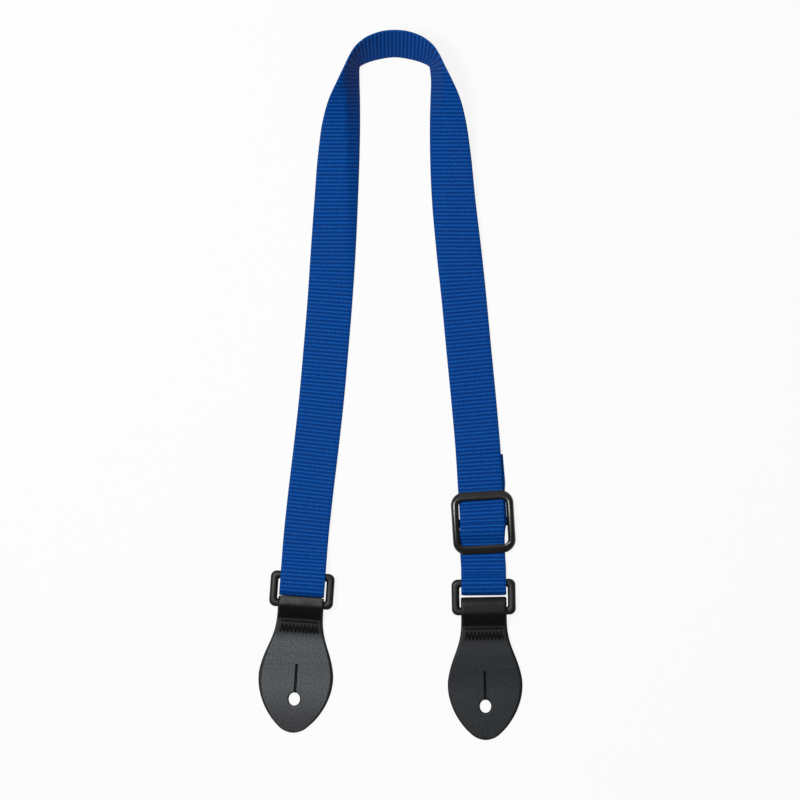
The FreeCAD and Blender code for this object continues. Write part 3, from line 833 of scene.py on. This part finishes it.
# Edge ink, brushed on and dried: black and half matt, a thin even line round each tab. The same
# black lines the slit's shallow groove, where it is partly painted shade inside the cut.
edge_ink_and_slit_shade_look, _, ink_shader = new_material("black_edge_ink_and_slit_shade")
ink_shader.inputs["Base Color"].default_value = linear("#08090A")
ink_shader.inputs["Roughness"].default_value = 0.55
ink_shader.inputs["Specular IOR Level"].default_value = 0.3

# The painted light of each tab, in its colour: a highlight where it goes over the bar, shade below
# that, a sheen on its blade and less sheen at its tip. The left tab is painted lighter than the
# right, as if lit from its side.
BLADE_SHEEN_FROM = 18.0  # from the end of the bend
LEATHER_PAINTED_LIGHT = {
    "left": ("#585654", "#040506", "#484D50", "#2B2A2E"),
    "right": ("#1E1D1E", "#040506", "#202428", "#1A1D20"),
}
for seed, (side, place, turn) in enumerate(SIDES, start=3):
    slack = TAB_SLACK[side]
    rear_long = TAB_BACK_END + slack - BAR_FROM_MIDDLE
    bend_long = math.pi * (RING_Z - LEATHER_THICK / 2)
    crest = rear_long + bend_long * 0.92
    blade_from = rear_long + bend_long + slack + BLADE_SHEEN_FROM
    tab_look = leather_material(
        "black_die_cut_leather_" + side, crest, blade_from, *LEATHER_PAINTED_LIGHT[side]
    )
    tab, tab_long = tab_piece("leather_tab_" + side, slack, place, turn, seed, tab_look, edge_ink_and_slit_shade_look)
    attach(tab, "tab_" + side)
    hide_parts("tab_" + side)

# ---------------------------------------------------------------------------
# The stitching: heavy bonded nylon thread, machine-sewn through both layers of
# leather. One straight row sits above a zigzag of about ten teeth.
# ---------------------------------------------------------------------------

THREAD = 0.95
THREAD_HALF_HIGH = 0.4 * THREAD
THREAD_SUNK = 0.35  # how far the thread goes into the leather at each hole
ROW_ARCH = 0.45
ZIGZAG_ARCH = 0.5
STITCH_ROW_Y = -17.6
ZIGZAG_TOP_Y = -19.2
ZIGZAG_LOW_Y = -23.8
ZIGZAG_HALF = 10.4
ZIGZAG_TEETH = 10
STITCH_LONG = 2.3


def thread_piece(name, points, place, turn, look, around=10):
    """A thread along a line of points: a grid wrapped round the line, wider than it is high."""
    points = np.array(points)
    count = len(points) - 1
    ahead = np.gradient(points, axis=0)
    ahead /= np.linalg.norm(ahead, axis=1)[:, None]
    sideways = np.cross(ahead, [0, 0, 1.0])
    sideways /= np.linalg.norm(sideways, axis=1)[:, None]
    bm = bmesh.new()
    bmesh.ops.create_grid(bm, x_segments=count, y_segments=around, size=0.5)
    uv = bm.loops.layers.uv.new("UVMap")
    for face in bm.faces:
        for loop in face.loops:
            co = loop.vert.co
            loop[uv].uv = ((co.x + 0.5) * count * 0.1 * MM, (co.y + 0.5) * 2.6 * MM)
    for vert in bm.verts:
        i = round((vert.co.x + 0.5) * count)
        angle = 2 * math.pi * round((vert.co.y + 0.5) * around) / around
        spot = points[i] + sideways[i] * math.cos(angle) * THREAD / 2
        x, y, z = spot + np.array([0, 0, math.sin(angle) * THREAD_HALF_HIGH])
        vert.co = set_down(x, y, z, place, turn)
    bmesh.ops.remove_doubles(bm, verts=bm.verts, dist=1e-7)
    bmesh.ops.holes_fill(bm, edges=[e for e in bm.edges if e.is_boundary], sides=0)
    bmesh.ops.recalc_face_normals(bm, faces=bm.faces)
    for face in bm.faces:
        face.smooth = True
    return finished(name, bm, look)


def thread_material():
    """Twisted and bonded nylon thread: black, hardly shiny, with fine slanting lines."""
    material, tree, shader = new_material("black_bonded_thread")
    place = node(tree, "ShaderNodeUVMap", uv_map="UVMap")
    # The thread turns once in 0.7 mm; a wave node's diagonal band is 0.63 / scale wide.
    twist = node(
        tree, "ShaderNodeTexWave", {0: (place, 0)},
        wave_type="BANDS", bands_direction="DIAGONAL", Scale=0.63 / (0.7 * MM),
    )
    bump = node(tree, "ShaderNodeBump", {"Height": (twist, 0)}, Strength=0.3, Distance=0.1 * MM)
    tree.links.new(bump.outputs[0], shader.inputs["Normal"])
    shader.inputs["Base Color"].default_value = linear("#020303")
    shader.inputs["Roughness"].default_value = 0.6
    shader.inputs["Specular IOR Level"].default_value = 0.12
    return material


thread_look = thread_material()
leather_top = TAB_FRONT_Z + LEATHER_THICK / 2
low = leather_top - THREAD_SUNK
tooth = ZIGZAG_HALF / ZIGZAG_TEETH
for side, place, turn in SIDES:
    row = []
    for x in steps(-ZIGZAG_HALF, ZIGZAG_HALF, 0.1):
        arch = abs(math.sin(math.pi * (x + ZIGZAG_HALF) / STITCH_LONG)) ** 0.5
        row.append((x, STITCH_ROW_Y, low + ROW_ARCH * arch))
    zigzag = []
    for k in range(2 * ZIGZAG_TEETH):
        x0 = -ZIGZAG_HALF + tooth * k
        y0, y1 = ZIGZAG_LOW_Y, ZIGZAG_TOP_Y
        if k % 2 == 1:
            y0, y1 = y1, y0
        for m in range(16):
            share = m / 16
            arch = math.sin(math.pi * share) ** 0.4
            zigzag.append((x0 + tooth * share, y0 + (y1 - y0) * share, low + ZIGZAG_ARCH * arch))
    zigzag.append((ZIGZAG_HALF, ZIGZAG_LOW_Y, low))
    for kind, points in (("row", row), ("zigzag", zigzag)):
        stitches = thread_piece("stitch_" + kind + "_" + side, points, place, turn, thread_look)
        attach(stitches, "tab_" + side)
        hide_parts("tab_" + side + "_stitching")

# ---------------------------------------------------------------------------
# The stage: a white sheet under the strap, a small key lamp above its left side,
# a large dim lamp beyond the bend, and a camera that looks straight down.
# ---------------------------------------------------------------------------

floor_mesh = bpy.data.meshes.new("floor")
floor_bm = bmesh.new()
bmesh.ops.create_grid(floor_bm, x_segments=1, y_segments=1, size=3.0)
floor_bm.to_mesh(floor_mesh)
floor_bm.free()
floor = bpy.data.objects.new("floor", floor_mesh)
floor.location.z = -0.0003
bpy.context.scene.collection.objects.link(floor)
# Matt white paper, pressed smooth: it takes a soft shadow, and shows white to the camera.
floor_look, floor_tree, floor_shader = new_material("matt_white_paper")
floor_shader.inputs["Base Color"].default_value = (0.7, 0.7, 0.7, 1)
floor_shader.inputs["Roughness"].default_value = 1.0
floor_path = node(floor_tree, "ShaderNodeLightPath")
floor_straight = node(
    floor_tree, "ShaderNodeMath",
    {0: (floor_path, "Is Camera Ray"), 1: (floor_path, "Is Glossy Ray")}, operation="MAXIMUM",
)
floor_any = node(
    floor_tree, "ShaderNodeMath",
    {0: (floor_straight, 0), 1: (floor_path, "Is Transmission Ray")}, operation="MAXIMUM",
)
floor_seen = node(floor_tree, "ShaderNodeMath", {0: (floor_any, 0)}, operation="MULTIPLY", in_1=0.9)
floor_glow = node(floor_tree, "ShaderNodeEmission", Color=(1, 1, 1, 1), Strength=1.0)
floor_mix = node(
    floor_tree, "ShaderNodeMixShader",
    {0: (floor_seen, 0), 1: (floor_shader, 0), 2: (floor_glow, 0)},
)
floor_tree.links.new(floor_mix.outputs[0], floor_tree.nodes["Material Output"].inputs[0])
floor_mesh.materials.append(floor_look)

world = bpy.data.worlds.new("studio")
world.use_nodes = True
world.node_tree.nodes["Background"].inputs[0].default_value = (1, 1, 1, 1)
world.node_tree.nodes["Background"].inputs[1].default_value = 0.17
bpy.context.scene.world = world


def softbox(name, place, target, size, watts):
    """A square lamp with a soft edge, aimed at a point."""
    lamp = bpy.data.lights.new(name, "AREA")
    lamp.size = size
    lamp.energy = watts
    box = bpy.data.objects.new(name, lamp)
    box.location = place
    box.rotation_euler = (Vector(target) - Vector(place)).to_track_quat("-Z", "Y").to_euler()
    bpy.context.scene.collection.objects.link(box)


softbox("key", (-0.42, 0.14, 1.14), (0, 0, 0), 0.36, 13.6)
softbox("top", (0.1, 1.3, 0.9), (0, 0, 0), 1.6, 3.5)

lens = bpy.data.cameras.new("camera")
lens.lens = 972.0
lens.sensor_width = 36
lens.clip_end = 30
camera = bpy.data.objects.new("camera", lens)
camera.location = (0.0053, -0.00836, 12.0)
bpy.context.scene.collection.objects.link(camera)
bpy.context.scene.camera = camera

view = bpy.context.scene.view_settings
view.view_transform = "Standard"
